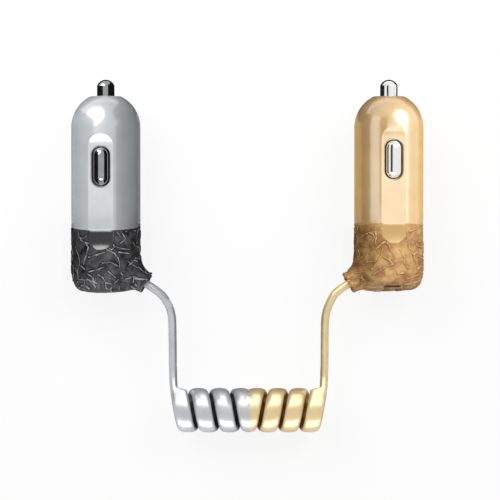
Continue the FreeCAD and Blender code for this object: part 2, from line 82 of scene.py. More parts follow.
class Val:
    # a socket that adds Math nodes when it is used in a sum
    def __init__(self, shader, socket):
        self.shader = shader
        self.socket = socket

    def maths(self, operation, *values):
        return self.shader.node("ShaderNodeMath", {"operation": operation}, dict(enumerate(values)))

    def __add__(self, other):
        return self.maths("ADD", self, other)

    def __radd__(self, other):
        return self.maths("ADD", other, self)

    def __sub__(self, other):
        return self.maths("SUBTRACT", self, other)

    def __rsub__(self, other):
        return self.maths("SUBTRACT", other, self)

    def __mul__(self, other):
        return self.maths("MULTIPLY", self, other)

    def __rmul__(self, other):
        return self.maths("MULTIPLY", other, self)

    def __truediv__(self, other):
        return self.maths("DIVIDE", self, other)

    def __rtruediv__(self, other):
        return self.maths("DIVIDE", other, self)

    def __pow__(self, other):
        return self.maths("POWER", self, other)

    def __gt__(self, other):
        return self.maths("GREATER_THAN", self, other)

    def __lt__(self, other):
        return self.maths("LESS_THAN", self, other)

    def __abs__(self):
        return self.maths("ABSOLUTE", self)

    def maximum(self, other):
        return self.maths("MAXIMUM", self, other)

    def above(self, low, high):
        # 0 under low, 1 over high, and a smooth step between
        sockets = {"Value": self, "From Min": low, "From Max": high}
        return self.shader.node("ShaderNodeMapRange", {"interpolation_type": "SMOOTHSTEP"}, sockets)


class Shader:
    # the nodes of a material, or of a world handed in
    def __init__(self, name, owner=None):
        self.owner = owner or bpy.data.materials.new(name)
        self.owner.use_nodes = True
        self.tree = self.owner.node_tree
        self.tree.nodes.clear()

    def node(self, kind, settings=None, sockets=None, out=0):
        made = self.tree.nodes.new(kind)
        for key, value in (settings or {}).items():
            setattr(made, key, value)
        for key, value in (sockets or {}).items():
            socket = self.findSocket(made, key)
            if isinstance(value, Val):
                self.tree.links.new(value.socket, socket)
            else:
                socket.default_value = value
        if isinstance(out, str):
            return Val(self, made.outputs[out])
        outputs = [o for o in made.outputs if o.enabled]
        return Val(self, outputs[out]) if outputs else made

    def findSocket(self, made, key):
        if isinstance(key, int):
            return made.inputs[key]
        return next(s for s in made.inputs if s.enabled and key in (s.identifier, s.name))

    def coords(self):
        return self.node("ShaderNodeTexCoord", out="Object")

    def plugCoords(self, finish):
        # place in the plug's own axes, in millimetres
        inverse = plugMatrix[finish].inverted()
        turn = inverse.to_3x3().normalized().to_euler()
        sockets = {"Vector": self.coords(), "Location": inverse.translation, "Rotation": turn}
        sockets["Scale"] = (1 / mm, 1 / mm, 1 / mm)
        return self.node("ShaderNodeMapping", {"vector_type": "POINT"}, sockets)

    def split(self, vector):
        made = self.node("ShaderNodeSeparateXYZ", None, {"Vector": vector}).socket.node
        return [Val(self, output) for output in made.outputs]

    def noise(self, scale, detail=2.0, out=0):
        sockets = {"Vector": self.coords(), "Scale": scale, "Detail": detail}
        return self.node("ShaderNodeTexNoise", None, sockets, out)

    def mix(self, factor, a, b):
        sockets = {"Factor_Float": factor, "A_Color": asColour(a), "B_Color": asColour(b)}
        return self.node("ShaderNodeMix", {"data_type": "RGBA"}, sockets)

    def bump(self, height, strength, distance, normal=None):
        sockets = {"Height": height, "Strength": strength, "Distance": distance}
        if normal:
            sockets["Normal"] = normal
        return self.node("ShaderNodeBump", None, sockets)

    def glow(self, colour):
        return self.node("ShaderNodeEmission", None, {"Color": colour, "Strength": 1.0})

    def ray(self, kind):
        return self.node("ShaderNodeLightPath", out=f"Is {kind} Ray")

    def ending(self, surface):
        self.node("ShaderNodeOutputMaterial", None, {"Surface": surface})
        return self.owner

    def surface(self, sockets):
        return self.ending(self.node("ShaderNodeBsdfPrincipled", None, sockets))


def asColour(value):
    return value if isinstance(value, Val) else (*value, 1)


def fromSrgb(red, green, blue):
    # a colour as it is read off a screen, 0 to 255, as the linear one that a shader takes
    levels = [c / 255 for c in (red, green, blue)]
    return tuple(c / 12.92 if c < 0.04045 else ((c + 0.055) / 1.055) ** 2.4 for c in levels)


def lookOf(table, finish):
    # what a table says of both finishes and of this one, with its colours made linear
    look = {**table.get("both", {}), **table[finish]}
    return {key: fromSrgb(*value) if isinstance(value, tuple) else value for key, value in look.items()}


# The axes of each plug

def namedRow(rows, name):
    return next(row for row in rows if row["name"] == name)


def readPlugMatrix(finish):
    mount = namedRow(record["mounts"], finish + "_socket_body")
    joint = namedRow(frame["joints"], finish + "_front_contact_press")
    socketMiddle = 20.35
    zAxis = Vector(mount["axis"]).normalized()
    yAxis = Vector(joint["axis"])
    yAxis = (yAxis - zAxis * yAxis.dot(zAxis)).normalized()
    turn = Matrix((yAxis.cross(zAxis), yAxis, zAxis)).transposed().to_4x4()
    origin = Vector(mount["pos_m"]) - zAxis * socketMiddle * mm
    return Matrix.Translation(origin) @ turn @ Matrix.Scale(mm, 4)


plugMatrix = {finish: readPlugMatrix(finish) for finish in finishes}


# Mesh tools

def meshObject(name, points, faces, sharp=None, matrix=None):
    mesh = bpy.data.meshes.new(name)
    mesh.from_pydata([tuple(p) for p in points], [], [tuple(f) for f in faces])
    if matrix:
        mesh.transform(matrix)
    mesh.shade_smooth()
    if sharp:
        mesh.set_sharp_from_angle(angle=math.radians(sharp))
    mesh.validate()
    thing = bpy.data.objects.new(name, mesh)
    bpy.context.scene.collection.objects.link(thing)
    return thing


def ringFaces(first, second):
    # quads between two rings of point numbers
    count = len(first)
    return [(first[i], first[(i + 1) % count], second[(i + 1) % count], second[i]) for i in range(count)]


def loft(rings):
    # a skin over rings of the same count of points, closed at both ends
    count = len(rings[0])
    numbers = [[r * count + k for k in range(count)] for r in range(len(rings))]
    faces = []
    for first, second in zip(numbers, numbers[1:]):
        faces += ringFaces(first, second)
    faces += [tuple(reversed(numbers[0])), tuple(numbers[-1])]
    return [point for ring in rings for point in ring], faces


def flipped(faces):
    return [tuple(reversed(face)) for face in faces]


def lathe(profile, around):
    # turns a profile of (radius, height) about z, with triangles where it lies on the axis
    points, rings, faces = [], [], []
    for radius, height in profile:
        count = around if radius else 1
        rings.append([len(points) + i % count for i in range(around)])
        for i in range(count):
            angle = math.tau * i / around
            points.append((radius * math.cos(angle), radius * math.sin(angle), height))
    for low, high in zip(rings, rings[1:]):
        faces += [tuple(dict.fromkeys(face)) for face in ringFaces(low, high)]
    return points, faces


def makePiece(name, mesh, finish, sharp, body, material, replaced):
    thing = meshObject(name, *mesh, sharp, plugMatrix[finish])
    thing.data.materials.append(material)
    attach(thing, body)
    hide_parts(replaced)
    return thing


# Camera

camera = {
    "middle": (0.8 * mm, -19.0 * mm),
    "frameWidth": 149.3 * mm,  # seen at the height of the plugs' axes
    "axisHeight": 10.2 * mm,
    "lens": 180.0,
    "sensor": 36.0,
    "clipStart": 0.01,
}


def makeCamera():
    data = bpy.data.cameras.new("camera")
    data.lens = camera["lens"]
    data.sensor_width = camera["sensor"]
    data.clip_start = camera["clipStart"]
    thing = bpy.data.objects.new("camera", data)
    distance = camera["frameWidth"] * camera["lens"] / camera["sensor"]
    thing.location = (*camera["middle"], camera["axisHeight"] + distance)
    bpy.context.scene.collection.objects.link(thing)
    bpy.context.scene.camera = thing


makeCamera()
bpy.context.scene.view_settings.view_transform = "Standard"
print("camera placed")


# The curly cord

cord = {
    "length": 334.0,
    "leadDiameter": 2.4,
    # each lead from inside its plug, then both as (distance from the middle plane, y, z)
    "leadStarts": {
        "silver": ((-37.209, -24.773, 10.804), (-26.83, -30.818, 11.777)),
        "gold": ((37.209, -24.773, 10.844), (26.83, -30.818, 11.817)),
    },
    "leadRoute": (
        (24.3, -34.2, 11.8),
        (22.8, -38.3, 10.9),
        (22.75, -44.2, 9.1),
        (22.75, -50.2, 7.6),
        (22.75, -55.6, 7.0),
        (21.9, -60.3, 8.3),
    ),
    "bandWidth": 5.2,
    "bandThickness": 2.2,
    "bandSquareness": 2.3,
    "coilRadius": 6.65,
    "coilMiddle": (0.4, -67.05, 6.65),
    "firstTurnAway": 19.75,  # distance of the first turn's crest from the middle plane
    "pitch": 6.29,
    "leadJoinsDeg": -40.0,
    "pointsPerTurn": 24,
    "edgeEasesFrom": -55.0,
    "shoulderFrom": -60.4,
    "shoulderTo": -61.9,
    "foldAway": 1.05,
    "foldTip": 0.8,  # share of foldAway at the last point
    "foldFromDeg": 1090.0,
    "foldTurnsIn": 50.0,  # degrees
    "foldSettlesIn": 60.0,
    "foldEndDeg": 1188.0,
    "easeFromDeg": 1165.0,
    "section": 32,
    "ringStep": 0.42,
    "weld": 0.02,
    "colourSplit": 0.93,
}
cordSides = {"silver": -1, "gold": 1}


def turnAway(degrees):
    # how far from the middle plane the crest line of the winding is at this angle
    return cord["firstTurnAway"] - cord["pitch"] * degrees / 360


def windingPoint(side, degrees, away, radius):
    middleX, middleY, middleZ = cord["coilMiddle"]
    angle = math.radians(degrees)
    y = middleY - radius * math.sin(angle)
    z = middleZ + radius * math.cos(angle)
    return (middleX + side * away, y, z)


def halfRoute(finish):
    side, middleX = cordSides[finish], cord["coilMiddle"][0]
    radius = cord["coilRadius"] - cord["bandThickness"] / 2
    step = 360 / cord["pointsPerTurn"]
    reach = radius / math.cos(math.radians(step / 2))  # the spline runs inside its control points
    points = list(cord["leadStarts"][finish])
    points += [(middleX + side * away, y, z) for away, y, z in cord["leadRoute"]]
    degrees = cord["leadJoinsDeg"]
    while degrees < cord["foldEndDeg"] - step:
        blend = min(max((degrees - cord["foldFromDeg"]) / cord["foldSettlesIn"], 0), 1)
        away = turnAway(degrees) * (1 - blend) + cord["foldAway"] * blend
        points.append(windingPoint(side, degrees, away, reach))
        degrees += step
    tipAway = cord["foldAway"] * cord["foldTip"]
    points.append(windingPoint(side, cord["foldEndDeg"] - step / 2, tipAway, reach))
    return points


def smoothLine(points):
    curve = bpy.data.curves.new("route", "CURVE")
    curve.dimensions = "3D"
    spline = curve.splines.new("NURBS")
    spline.points.add(len(points) - 1)
    for spot, point in zip(spline.points, points):
        spot.co = (*(c * mm for c in point), 1)
    spline.order_u = 3
    spline.use_endpoint_u = True
    spline.resolution_u = 12
    holder = bpy.data.objects.new("route", curve)
    bpy.context.scene.collection.objects.link(holder)
    mesh = bpy.data.meshes.new_from_object(holder)
    line = [Vector(v.co) / mm for v in mesh.vertices]
    bpy.data.objects.remove(holder)
    bpy.data.curves.remove(curve)
    bpy.data.meshes.remove(mesh)
    return line


def spread(line, step):
    # points along the line about one step apart
    lengths = [0.0]
    for a, b in zip(line, line[1:]):
        lengths.append(lengths[-1] + (b - a).length)
    count = max(2, round(lengths[-1] / step))
    spots, k = [], 0
    for i in range(count + 1):
        goal = lengths[-1] * i / count
        while k < len(line) - 2 and lengths[k + 1] < goal:
            k += 1
        part = (goal - lengths[k]) / max(lengths[k + 1] - lengths[k], 1e-9)
        spots.append(line[k].lerp(line[k + 1], min(part, 1)))
    return spots


def smoothStep(value, low, high):
    part = min(max((value - low) / (high - low), 0), 1)
    return part * part * (3 - 2 * part)


def bandEdge(y, edge):
    # the outer edge of the lead, eased into the edge of the first turn
    joinDeg, fromY = cord["leadJoinsDeg"], cord["edgeEasesFrom"]
    radius = cord["coilRadius"] - cord["bandThickness"] / 2
    joinY = windingPoint(0, joinDeg, 0, radius)[1]
    joinEdge = turnAway(joinDeg) + cord["bandWidth"] / 2
    slope = cord["pitch"] / math.tau / (radius * math.cos(math.radians(joinDeg)))
    part = min(max((fromY - y) / (fromY - joinY), 0), 1)
    run = fromY - joinY
    a, b = 1 - 3 * part ** 2 + 2 * part ** 3, 3 * part ** 2 - 2 * part ** 3
    return a * edge + b * joinEdge + (part ** 2 - part ** 3) * slope * run


def silverHalf(line):
    # rings of the silver half, from the plug to the middle plane
    middleX, middleY, middleZ = cord["coilMiddle"]
    thin = cord["leadDiameter"] / 2
    halfWidth, halfThick = cord["bandWidth"] / 2, cord["bandThickness"] / 2
    axis = Vector((1, 0, 0))
    spots = spread(line, cord["ringStep"])
    rings, degrees = [], None
    edge = middleX + thin - min(spot.x for spot in spots if spot.y < cord["edgeEasesFrom"])
    joinY = windingPoint(0, cord["leadJoinsDeg"], 0, cord["coilRadius"] - halfThick)[1]
    for index, spot in enumerate(spots):
        before, after = spots[max(index - 1, 0)], spots[min(index + 1, len(spots) - 1)]
        along = (after - before).normalized()
        radial = along.cross(axis).normalized()
        across = (axis - along * along.x).normalized()
        grown = 1.0
        if degrees is None and spot.y > joinY:
            grown = smoothStep(-spot.y, -cord["shoulderFrom"], -cord["shoulderTo"])
        else:
            angle = math.degrees(math.atan2(middleY - spot.y, spot.z - middleZ))
            degrees = angle if degrees is None else degrees + (angle - degrees + 180) % 360 - 180
            fold = smoothStep(degrees, cord["foldFromDeg"] - cord["foldTurnsIn"], cord["foldFromDeg"])
            across = across.lerp(axis, fold).normalized()
        wide = thin + (halfWidth - thin) * grown
        thick = thin + (halfThick - thin) * grown
        centreX = spot.x
        if degrees is not None:
            centreX = middleX - turnAway(degrees)
        elif spot.y < cord["edgeEasesFrom"]:
            centreX = middleX - bandEdge(spot.y, edge) + wide
        centre = Vector((centreX, spot.y, spot.z))
        ease = 1.0 if degrees is None else 1 - smoothStep(degrees, cord["easeFromDeg"], cord["foldEndDeg"])
        power = 2 + (cord["bandSquareness"] - 2) * grown
        ring = []
        for k in range(cord["section"]):
            turn = math.tau * k / cord["section"]
            c, s = math.cos(turn), math.sin(turn)
            sideways = math.copysign(abs(c) ** (2 / power), c) * wide
            outward = math.copysign(abs(s) ** (2 / power), s) * thick
            point = centre + across * sideways + radial * outward
            if degrees is not None:
                point.x = middleX + (min(point.x, middleX) - middleX) * ease
            ring.append(point)
        rings.append(ring)
    return rings


def mirrored(points):
    middleX = cord["coilMiddle"][0]
    return [Vector((2 * middleX - p.x, p.y, p.z)) for p in points]


def cordHalfMesh(finish):
    # open where the halves meet; the gold one is drawn as a silver one and mirrored
    line = smoothLine(halfRoute(finish))
    if finish == "silver":
        points, faces = loft(silverHalf(line))
        return points, faces[:-1]
    points, faces = loft(silverHalf(mirrored(line)))
    return mirrored(points), flipped(faces[:-1])


# the darkest colour of each finish is shade painted on the inner side of the coil's turns
cordLook = {
    "silver": {"deep": (190, 192, 196), "pale": (200, 202, 206), "gap": (60, 61, 63)},
    "gold": {"deep": (228, 200, 140), "pale": (236, 210, 154), "gap": (140, 98, 44)},
    "both": {"metallic": 0.45, "roughness": 0.32, "coat": 0.8, "gapDepth": 1.5, "gapEdge": 0.2,
             "coatDepth": 1.2, "coatEdge": 0.3},
}


def makeCordMaterial(finish):
    look = lookOf(cordLook, finish)
    shader = Shader(finish + "Cord")
    patch = shader.noise(260.0).above(0.35, 0.65)
    colour = shader.mix(patch, look["deep"], look["pale"])
    _, y, z = shader.split(shader.coords())
    (_, middleY, middleZ), radius = cord["coilMiddle"], cord["coilRadius"]
    # points nearer the coil's axis than the outer face of its turns take the darker colour: painted shade
    # inside the coil and between its turns
    away = ((y / mm - middleY) ** 2 + (z / mm - middleZ) ** 2) ** 0.5
    outside = away.above(radius - look["gapDepth"], radius - look["gapEdge"])
    coated = away.above(radius - look["coatDepth"], radius - look["coatEdge"])
    return shader.surface({
        "Base Color": shader.mix(outside, look["gap"], colour),
        "Metallic": look["metallic"],
        "Roughness": look["roughness"] + shader.noise(900.0, 3.0) * 0.08,
        "Coat Weight": look["coat"] * coated,
        "Coat Roughness": 0.26,
        "Coat IOR": 2.0,
        "Normal": shader.bump(shader.noise(5200.0), 0.06, 0.02 * mm),
    })


def makeCord():
    points, faces = [], []
    middleX = cord["coilMiddle"][0]
    for finish in finishes:
        halfPoints, halfFaces = cordHalfMesh(finish)
        faces += [tuple(len(points) + i for i in face) for face in halfFaces]
        points += halfPoints
    flat = {i for i, p in enumerate(points) if abs(p.x - middleX) < 1e-6}
    faces = [face for face in faces if not flat.issuperset(face)]
    thing = meshObject("curly_cord", points, faces, matrix=Matrix.Scale(mm, 4))
    mesh = thing.data
    work = bmesh.new()
    work.from_mesh(mesh)
    bmesh.ops.remove_doubles(work, verts=work.verts, dist=cord["weld"] * mm)
    parts = list(work.verts) + list(work.edges) + list(work.faces)
    split = (cord["colourSplit"] * mm, 0, 0)
    bmesh.ops.bisect_plane(work, geom=parts, plane_co=split, plane_no=(1, 0, 0), dist=1e-7)
    loose = [v for v in work.verts if not v.link_faces]
    bmesh.ops.delete(work, geom=loose, context="VERTS")
    for face in work.faces:
        face.material_index = int(face.calc_center_median().x > split[0])
        face.smooth = True
    bmesh.ops.recalc_face_normals(work, faces=work.faces)
    work.to_mesh(mesh)
    work.free()
    for finish in finishes:
        mesh.materials.append(makeCordMaterial(finish))
    path = [p * mm for p in smoothLine(halfRoute("silver") + halfRoute("gold")[::-1])]
    length = sum((b - a).length for a, b in zip(path, path[1:]))
    print("cord length", round(length, 4))
    replaced = [finish + part for finish in finishes for part in ("_cord_lead", "_cord_coil")]
    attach(thing, "casing")
    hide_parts(*replaced)


# The base covers, with their raised crackle

cover = {
    "radius": 10.3,
    "corner": (3.0, 6.0),  # width and height of the rounded foot
    "crown": 0.6,
    "seam": 19.3,
    "slantDeg": 5.8,
    "hollow": {"radius": 8.7, "corner": (2.2, 4.4), "floor": 1.6, "top": 16.8},
    "spigot": {"radius": 8.65, "flat": 7.96, "bore": 7.4, "low": 18.05, "high": 22.3},
    "channel": {"facet": 9.61, "endRadius": 10.3, "frontFrom": 16.16, "backFrom": 18.25},
    "port": {"x": -0.4, "half": (2.61, 6.3), "canHalf": (2.91, 6.6), "mouth": 1.2, "top": 14.2},
    "spout": {"mouth": (12.25, 0.0, 2.5), "dropDeg": 30.0, "outline": ((0.4, 3.15), (2.9, 3.75), (5.9, 6.2)),
              "deep": 7.4, "bore": 2.35, "seat": 3.05, "seatFrom": 5.6, "boreTo": 11.2,
              "lipHigh": 0.55, "lipAt": 0.45, "lipWide": 0.4},
    "blend": 0.9,
    "box": ((-11.2, -11.2, -2.0), (16.2, 11.2, 22.8)),
    "voxel": 0.135,
    "adaptivity": 0.004,
    "ridgeHeight": 0.27,
    "ridgeWidth": 0.27,
    "ridgeReach": 0.55,  # how far the ridge reaches, and with it the shade painted on its sides
    "ridgeStep": 0.08,
    "ridgeBow": 0.25,
    "ridgeBowsFrom": 2.2,
    "raySteps": (2.0, 22.0, 0.05),
    "dents": 0.14,
    "dentSize": 2.6,
    "notch": {"x": 0.15, "half": 2.4, "middle": 1.4, "halfHeight": 0.72, "from": 6.9,
              "darkReach": 0.12, "darkFrom": 5.0, "darkDepth": 0.3},
    "smoothReach": 0.05,
    "rollDeg": 6.0,
    "seed": 11,
}
# ridges that the photograph shows on the front, in turn across from the axis and up from the foot,
# in tenths of a millimetre
frontRidges = (
    (-100, 160, -86, 134, -77, 110, -74, 83, -58, 69),
    (-80, 192, -77, 170, -68, 154, -46, 145),
    (-78, 164, -62, 159, -51, 170),
    (-54, 147, -47, 134, -54, 108, -61, 84),
    (-74, 84, -81, 61, -80, 40),
    (-100, 84, -87, 69, -79, 56),
    (-46, 105, -22, 112, 1, 120),
    (7, 129, 32, 116, 41, 103, 46, 74, 50, 56, 62, 48),
    (8, 138, 23, 152, 31, 136, 22, 127, 9, 137),
    (33, 138, 50, 131, 74, 127),
    (43, 120, 73, 115),
    (29, 193, 43, 173, 48, 164),
    (47, 186, 64, 160, 46, 145),
    (62, 180, 73, 187, 90, 182),
    (-5, 88, 19, 91, 40, 79),
    (66, 95, 87, 78, 98, 70),
    (87, 96, 70, 79),
    (12, 64, 34, 45),
    (-45, 62, -22, 68, -1, 76),
    (94, 82, 99, 60, 110, 45),
    (-80, 39, -44, 38, -22, 28),
    (62, 40, 82, 44, 103, 28),
    (-49, 56, -32, 44, -34, 32),
    (-98, 130, -94, 104, -100, 86),
    (-18, 54, -4, 46, 6, 30, 24, 26),
    (78, 156, 88, 138, 98, 134),
)
# and those of the back, as the gold plug shows them
backRidges = (
    (-87, 160, -68, 174),
    (-28, 191, -46, 179, -42, 162, -44, 144),
    (-62, 177, -51, 172, -44, 156),
    (-83, 139, -72, 136, -60, 157),
    (-62, 115, -44, 129, -28, 144, -17, 150),
    (-23, 131, -28, 109, -52, 74, -56, 69),
    (-54, 52, -29, 68, 7, 84, -4, 96, -28, 109),
    (-91, 70, -71, 90, -56, 92),
    (-95, 58, -73, 62, -67, 52),
    (-12, 148, -4, 136, 2, 122),
    (56, 181, 73, 185, 89, 197),
    (66, 159, 81, 138, 97, 134),
    (54, 139, 62, 124, 70, 112, 89, 128),
    (70, 112, 72, 101, 81, 82, 83, 72),
    (83, 70, 99, 86),
    (97, 163, 89, 151),
    (29, 124, 43, 104, 40, 88, 53, 72),
    (50, 39, 73, 47, 88, 54),
    (-94, 126, -88, 110, -94, 94),
    (-53, 32, -18, 28),
    (6, 120, 12, 106, 4, 96),
    (16, 68, 24, 56, 39, 58),
    (-86, 42, -68, 32, -62, 20),
)
# random ones of the same kind, for the sides, the foot and the back of the spout
strayRidges = {
    "total": 130,  # of all ridges
    "heart": (0, 0, 9),  # where the rays that place them start
    "slope": (-9.0, 11.0),  # of those rays, in tenths
    "sideDepth": 4.5,  # the sides lie nearer the middle plane than this
    "footHeight": 3.2,
    "runs": (1, 3),
    "turn": (0.3, 1.0),
    "length": (1.4, 3.2),
    "upward": (0.13, 0.21, 0.97),
}


def within(*fields):
    # under 0 where every field is
    return reduce(np.maximum, fields)


def slab(values, middle, half):
    return np.abs(values - middle) - half


def cupField(r, level, radius, corner, low, crown):
    # under 0 inside a round cup whose foot has an elliptical corner
    flat = radius - corner[0]
    a = (r - flat) / corner[0]
    b = (level - low - crown - corner[1]) / corner[1]
    k = np.sqrt(a * a + b * b) + 1e-6
    steep = np.sqrt((a / corner[0]) ** 2 + (b / corner[1]) ** 2) / k
    rounded = (k - 1) / (steep + 1e-6)
    under = low + crown * (r / flat) ** 2 - level
    return np.where(b > 0, r - radius, np.where(a > 0, rounded, under))


def circleThrough(a, b, c):
    ax, ay, bx, by, cx, cy = *a, *b, *c
    d = 2 * (ax * (by - cy) + bx * (cy - ay) + cx * (ay - by))
    p, q, r = ax * ax + ay * ay, bx * bx + by * by, cx * cx + cy * cy
    x = (p * (by - cy) + q * (cy - ay) + r * (ay - by)) / d
    y = (p * (cx - bx) + q * (ax - cx) + r * (bx - ax)) / d
    return x, y, math.hypot(ax - x, ay - y)


def spoutField(x, y, z):
    # returns the horn, and its bore with the seat of the grommet
    spout = cover["spout"]
    drop = math.radians(spout["dropDeg"])
    out = (math.cos(drop), 0.0, -math.sin(drop))
    mx, my, mz = spout["mouth"]
    depth = -((x - mx) * out[0] + (z - mz) * out[2])
    rise = (x - mx) * -out[2] + (z - mz) * out[0]
    r = np.sqrt(rise ** 2 + (y - my) ** 2)
    around = np.arctan2(y - my, rise)
    middle, high, bend = circleThrough(*spout["outline"])
    first, last = spout["outline"][0][0], spout["outline"][-1][0]
    t = np.clip(depth, first, last)
    outline = high - np.sqrt(bend ** 2 - (t - middle) ** 2)
    ragged = 0.5 + 0.3 * np.sin(3 * around + 0.6) + 0.2 * np.sin(7 * around + 2.0)
    lip = spout["lipHigh"] * ragged * np.exp(-((depth - spout["lipAt"]) / spout["lipWide"]) ** 2)
    mouthEnd = 0.35 * np.sin(2 * around + 1.1) * np.sin(5 * around)
    horn = within(r - outline - lip, -depth + 0.25 * mouthEnd, depth - spout["deep"])
    seat = within(r - spout["seat"], spout["seatFrom"] - depth)
    return horn, within(np.minimum(r - spout["bore"], seat), depth - spout["boreTo"])


def outerField(x, y, z):
    level = z - y * math.tan(math.radians(cover["slantDeg"]))
    cup = cupField(np.hypot(x, y), level, cover["radius"], cover["corner"], 0.0, cover["crown"])
    horn, bore = spoutField(x, y, z)
    share = np.clip(0.5 + 0.5 * (cup - horn) / cover["blend"], 0, 1)
    both = cup * (1 - share) + horn * share - cover["blend"] * share * (1 - share)
    return both, level, bore


def between(grid, base, parts):
    # grid values at a share of the way between the eight corners of each cell
    total = 0
    for corners in np.ndindex(2, 2, 2):
        weight = 1
        for part, corner in zip(parts, corners):
            weight = weight * (part if corner else 1 - part)
        total = total + weight * grid[tuple(b + corner for b, corner in zip(base, corners))]
    return total


def softDents(x, y, z):
    # smooth random hollows and swells
    lattice = np.random.default_rng(cover["seed"]).uniform(-1, 1, (40, 40, 40)).astype(np.float32)
    spots = [np.asarray(c, np.float32) / cover["dentSize"] + 18 for c in (x, y, z)]
    base = [np.floor(c).astype(int) for c in spots]
    parts = [c - b for c, b in zip(spots, base)]
    return between(lattice, base, [p * p * (3 - 2 * p) for p in parts]) * cover["dents"]


def coverHit(start, direction):
    # where a ray from inside leaves the cover's outer surface
    start, direction = np.array(start, float), np.array(direction, float)
    direction /= np.linalg.norm(direction)
    steps = np.arange(*cover["raySteps"])
    spots = start + steps[:, None] * direction
    field = outerField(*spots.T)[0]
    outside = np.nonzero(field > 0)[0]
    first = outside[0] if len(outside) else len(steps) - 1
    return spots[first]


def ridgeLines():
    # every ridge as points on the outer surface
    radius, roll = cover["radius"], math.radians(cover["rollDeg"])
    lines = []
    for ridges, facing in ((frontRidges, -1), (backRidges, 1)):
        for ridge in ridges:
            line = []
            for across, height in zip(ridge[::2], ridge[1::2]):
                seen = math.asin(min(max(across / 10 / radius, -0.995), 0.995))
                turn = (seen if facing < 0 else -seen) + roll
                line.append(coverHit((0, 0, height / 10), (math.sin(turn), facing * math.cos(turn), 0)))
            lines.append(line)
    dice = random.Random(cover["seed"])
    stray, heart = strayRidges, np.array(strayRidges["heart"])
    while len(lines) < stray["total"]:
        turn = dice.uniform(0, math.tau)
        slope = dice.uniform(*stray["slope"]) / 10
        spot = coverHit(heart, (math.cos(turn), math.sin(turn), slope))
        if abs(spot[1]) >= stray["sideDepth"] and spot[2] > stray["footHeight"]:
            continue
        heading = dice.uniform(0, math.tau)
        line = [spot]
        for _ in range(dice.randint(*stray["runs"])):
            heading += dice.choice((-1, 1)) * dice.uniform(*stray["turn"])
            run = dice.uniform(*stray["length"])
            away = spot / np.linalg.norm(spot - heart)
            level = np.cross(stray["upward"], away)
            rise = np.cross(away, level)
            goal = spot + run * (level * math.cos(heading) + rise * math.sin(heading))
            spot = coverHit(heart, goal - heart)
            line.append(spot)
        lines.append(line)
    return lines


def ridgeSpots(lines):
    # close points along every ridge, each with its own width
    dice = random.Random(cover["seed"] + 1)
    spots = []
    for line in lines:
        start = dice.uniform(0, 9)
        for a, b in zip(line, line[1:]):
            count = max(2, int(np.linalg.norm(b - a) / cover["ridgeStep"]))
            bow = dice.uniform(-cover["ridgeBow"], cover["ridgeBow"])
            for k in range(count + 1):
                part = k / count
                spot = a + (b - a) * part
                if spot[2] > cover["ridgeBowsFrom"]:
                    sway = bow * math.sin(math.pi * part)
                    spot = coverHit((0, 0, spot[2]), (spot[0], spot[1] + sway, 0))
                spots.append((spot, 0.85 + 0.2 * math.sin(0.17 * k + start)))
    return spots


def nearRidges(axes, lines):
    # 1 on a ridge, and less with the square of the distance, to 0 at its reach
    spacing = cover["voxel"]
    near = np.zeros([len(a) for a in axes], np.float32)
    for spot, width in ridgeSpots(lines):
        reach = cover["ridgeReach"] * width
        low = [int((c - reach - axis[0]) / spacing) for c, axis in zip(spot, axes)]
        high = [int((c + reach - axis[0]) / spacing) + 2 for c, axis in zip(spot, axes)]
        cut = tuple(slice(max(i, 0), max(j, 0)) for i, j in zip(low, high))
        block = near[cut]
        if not block.size:
            continue
        x, y, z = np.ix_(*(axis[c] for axis, c in zip(axes, cut)))
        away = ((x - spot[0]) ** 2 + (y - spot[1]) ** 2 + (z - spot[2]) ** 2) / reach ** 2
        np.maximum(block, 1 - away, out=block)
    return near


def channelField(y, z, facing, start):
    # under 0 inside the metal beside the flat and its scooped end
    bend = cover["channel"]["endRadius"]
    run = np.clip(start - z, 0, bend)
    rise = bend - np.sqrt(np.maximum(bend ** 2 - run ** 2, 0))
    return facing * y - cover["channel"]["facet"] - rise


def gridAt(grid, points):
    # the values of a grid at points given in cells
    base = [np.clip(np.floor(c).astype(int), 0, n - 2) for c, n in zip(points.T, grid.shape)]
    return between(grid, base, [c - b for c, b in zip(points.T, base)])


def notchField(x, z):
    notch = cover["notch"]
    return within(slab(x, notch["x"], notch["half"]), slab(z, notch["middle"], notch["halfHeight"]))


